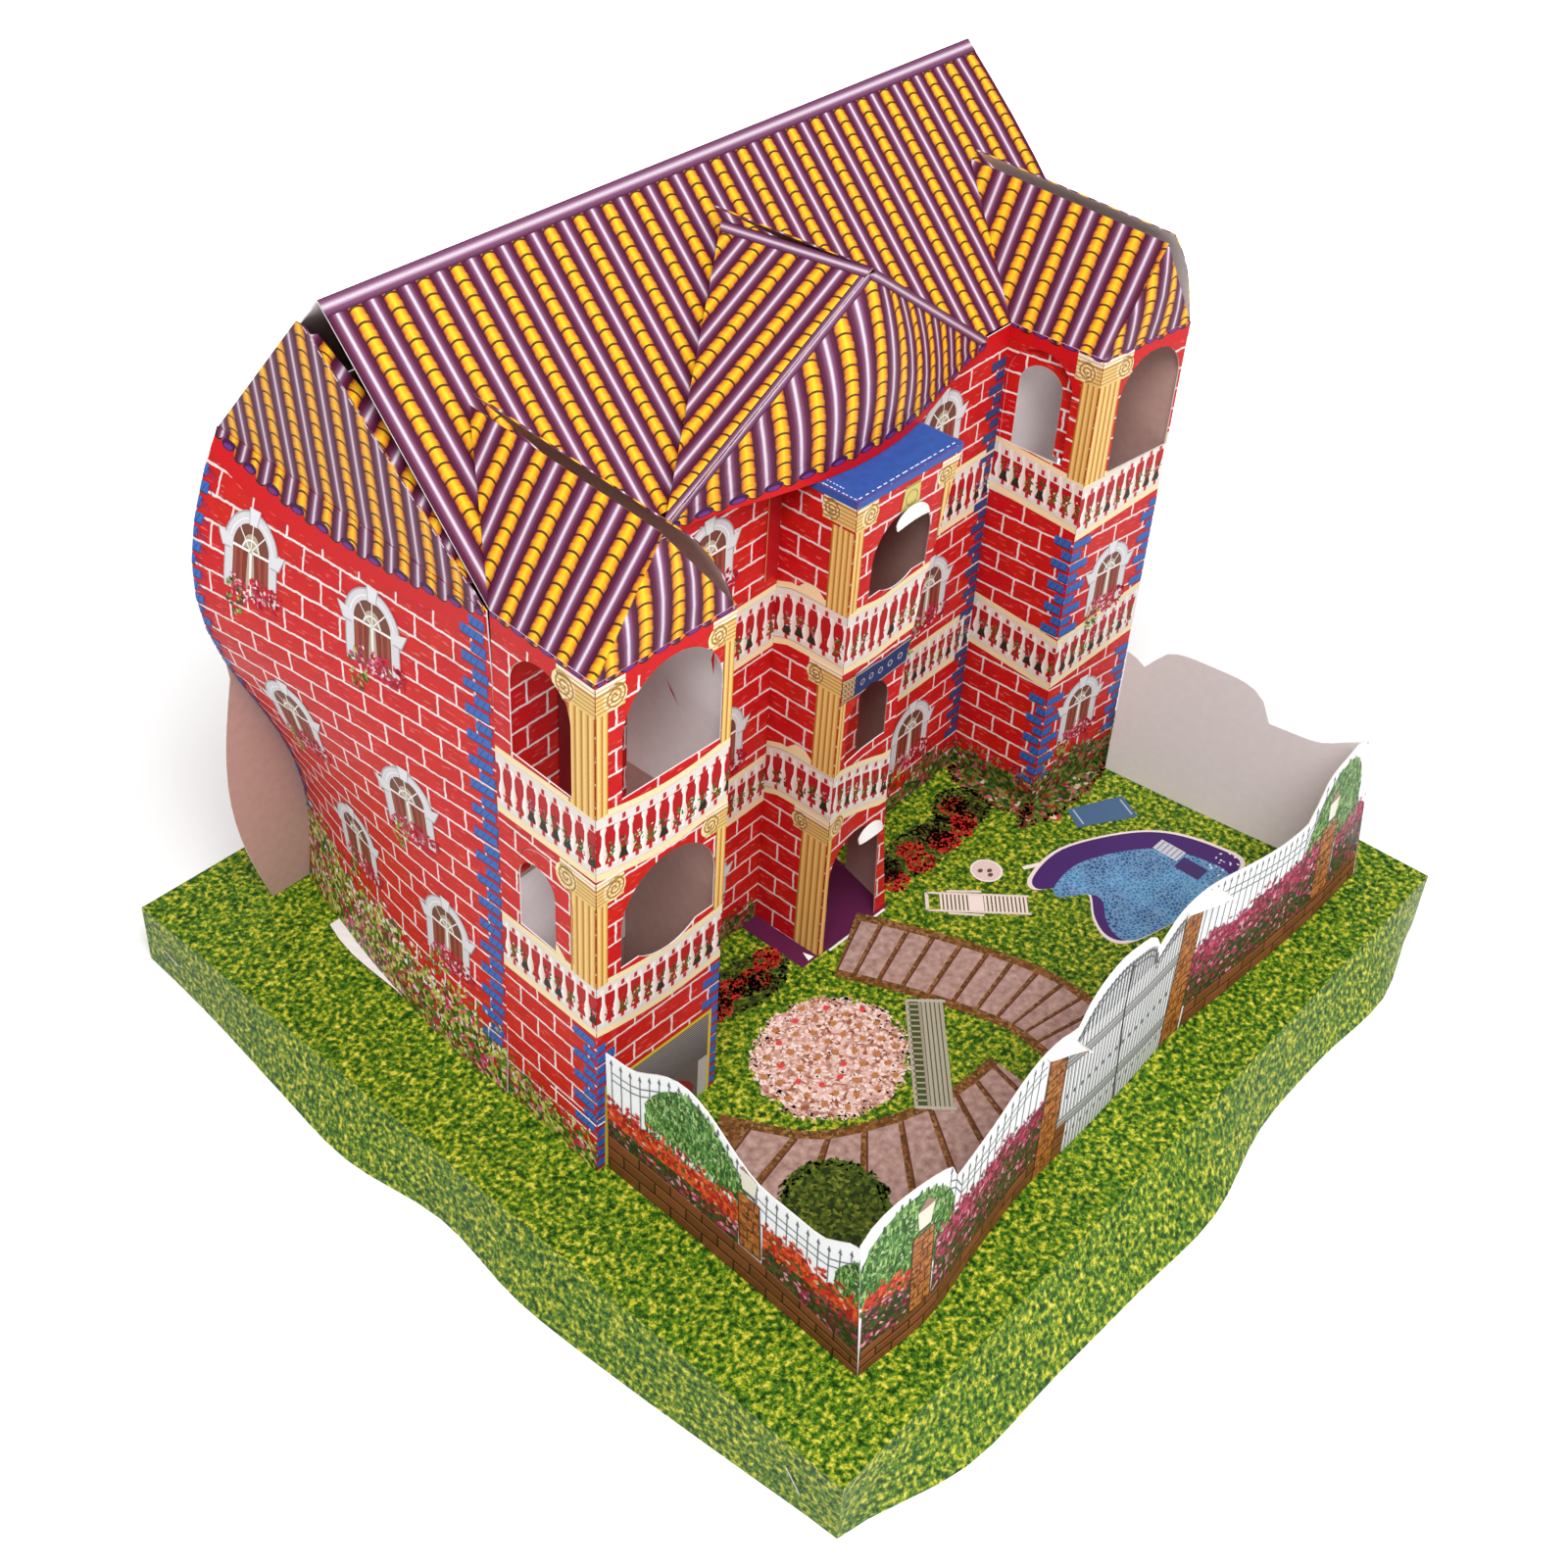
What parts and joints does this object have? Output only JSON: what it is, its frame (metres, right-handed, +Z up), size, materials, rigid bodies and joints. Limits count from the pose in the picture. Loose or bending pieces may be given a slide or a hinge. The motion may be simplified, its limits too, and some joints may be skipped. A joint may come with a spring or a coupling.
{
  "type": "joss paper house",
  "caption": "Folded card house with wings, porch and garden fence on a printed tray, held by staples.",
  "frame": {"origin": "middle of the tray, on the floor that its skirts stand on", "axes": "+X to the right along the gate side, +Y from the gate to the back wall, +Z up"},
  "size_m": [0.444, 0.4426, 0.351],
  "materials": {
    "printed_grass": "satin",
    "printed_brick": "satin",
    "printed_tile": "satin",
    "printed_fence": "satin",
    "staple_wire": "brushed"
  },
  "bodies": {
    "root": {"base_tray": "printed_grass", "corner_staples": "staple_wire", "left_wall_sheet": "printed_brick", "right_wall_sheet": "printed_brick", "back_wall_sheet": "printed_brick", "front_wall_sheet": "printed_brick", "left_wing_sheet": "printed_brick", "right_wing_sheet": "printed_brick", "porch_sheet": "printed_brick", "middle_roof_sheet": "printed_tile", "main_roof_sheet": "printed_tile", "fence_strip": "printed_fence"}
  },
  "joints": []
}
